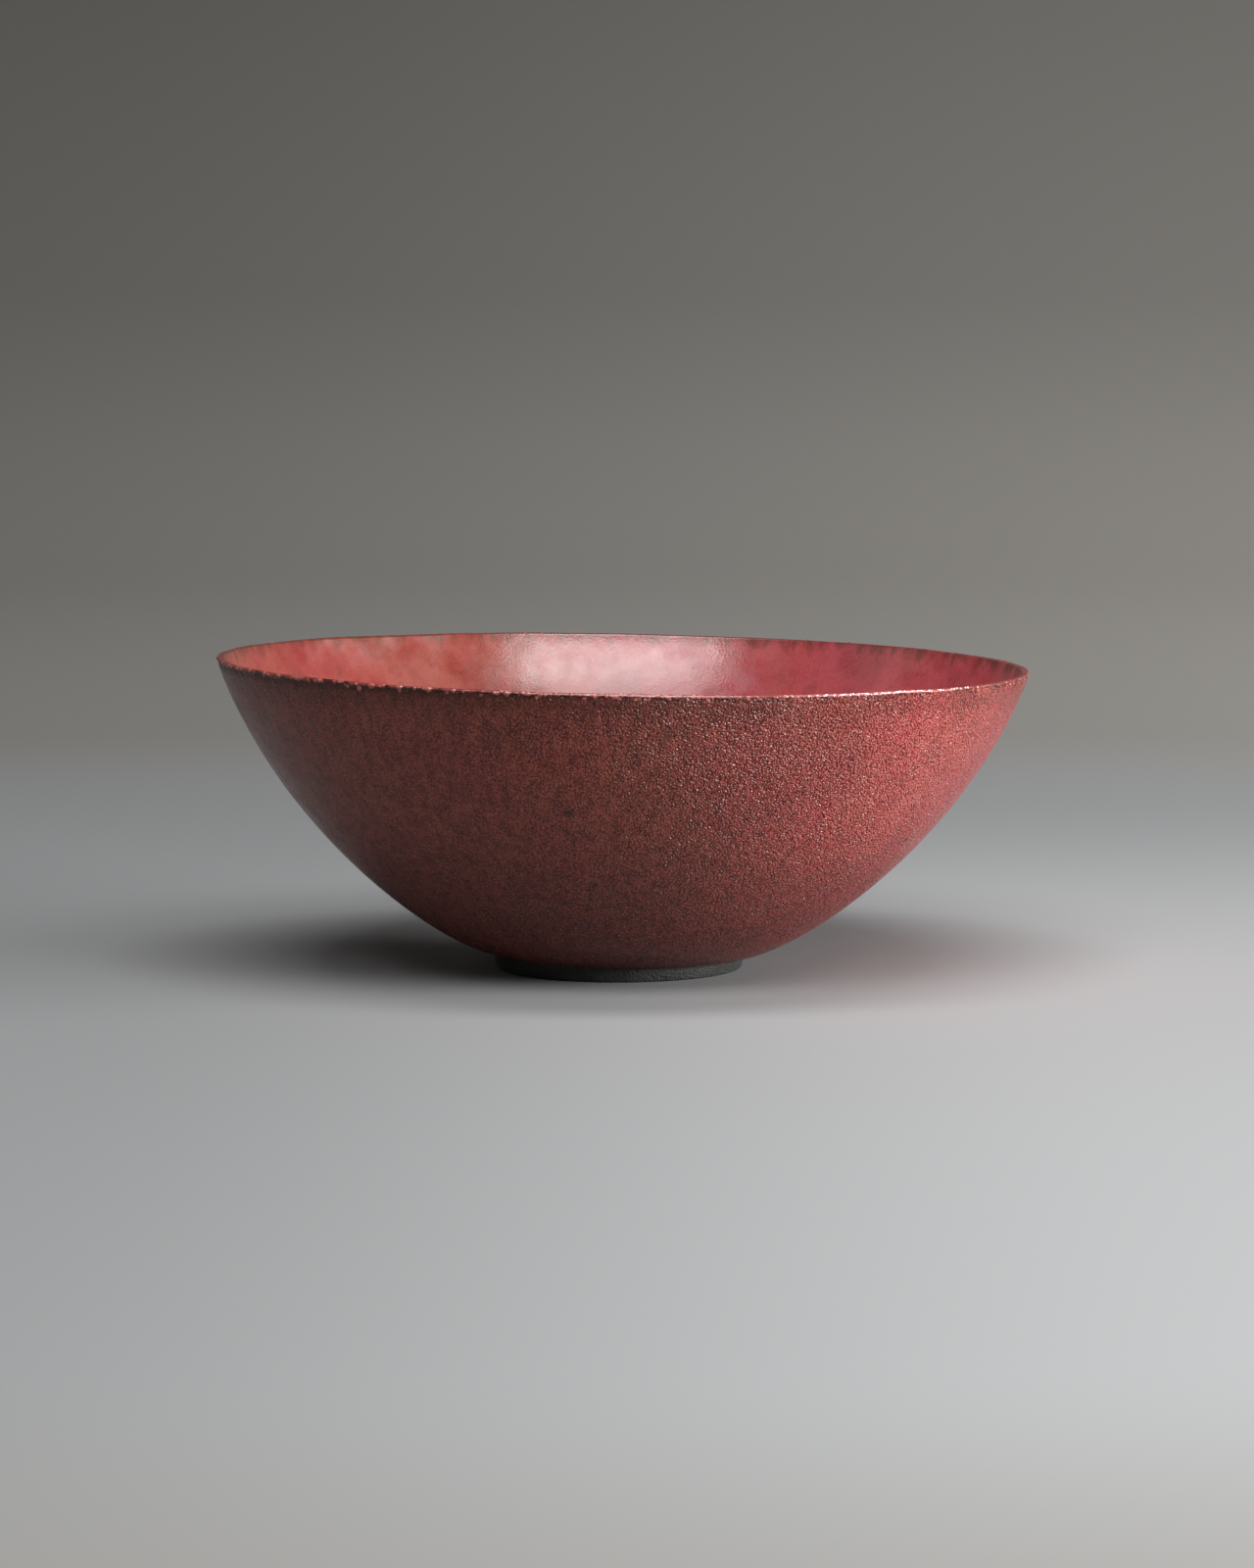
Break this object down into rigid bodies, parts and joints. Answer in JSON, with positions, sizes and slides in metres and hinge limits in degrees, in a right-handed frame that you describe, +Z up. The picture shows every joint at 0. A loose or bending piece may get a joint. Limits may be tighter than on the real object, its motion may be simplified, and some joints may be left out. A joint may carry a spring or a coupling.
{
  "type": "bowl",
  "caption": "Thin-walled open bowl with a flared wall, a small bare clay foot ring, a speckled satin red coat and a dark broken edge on the lip.",
  "frame": {"origin": "on the table, under the middle of the mouth", "axes": "+Z up, -Y towards the viewer of the picture, +X to the viewer's right; the mouth's -X side stands about 2.7 mm higher than its +X side"},
  "size_m": [0.15, 0.15, 0.0583],
  "materials": {
    "dark_clay": "fired, bare and smooth",
    "red_coat": "satin, fine pale speckle",
    "lip_edge": "thin, glossy dark brown with pale beads"
  },
  "bodies": {
    "root": {"clay_body": "dark_clay", "foot_ring": "dark_clay", "outer_coat": "red_coat", "inner_coat": "red_coat", "lip_coat": "lip_edge"}
  },
  "joints": []
}
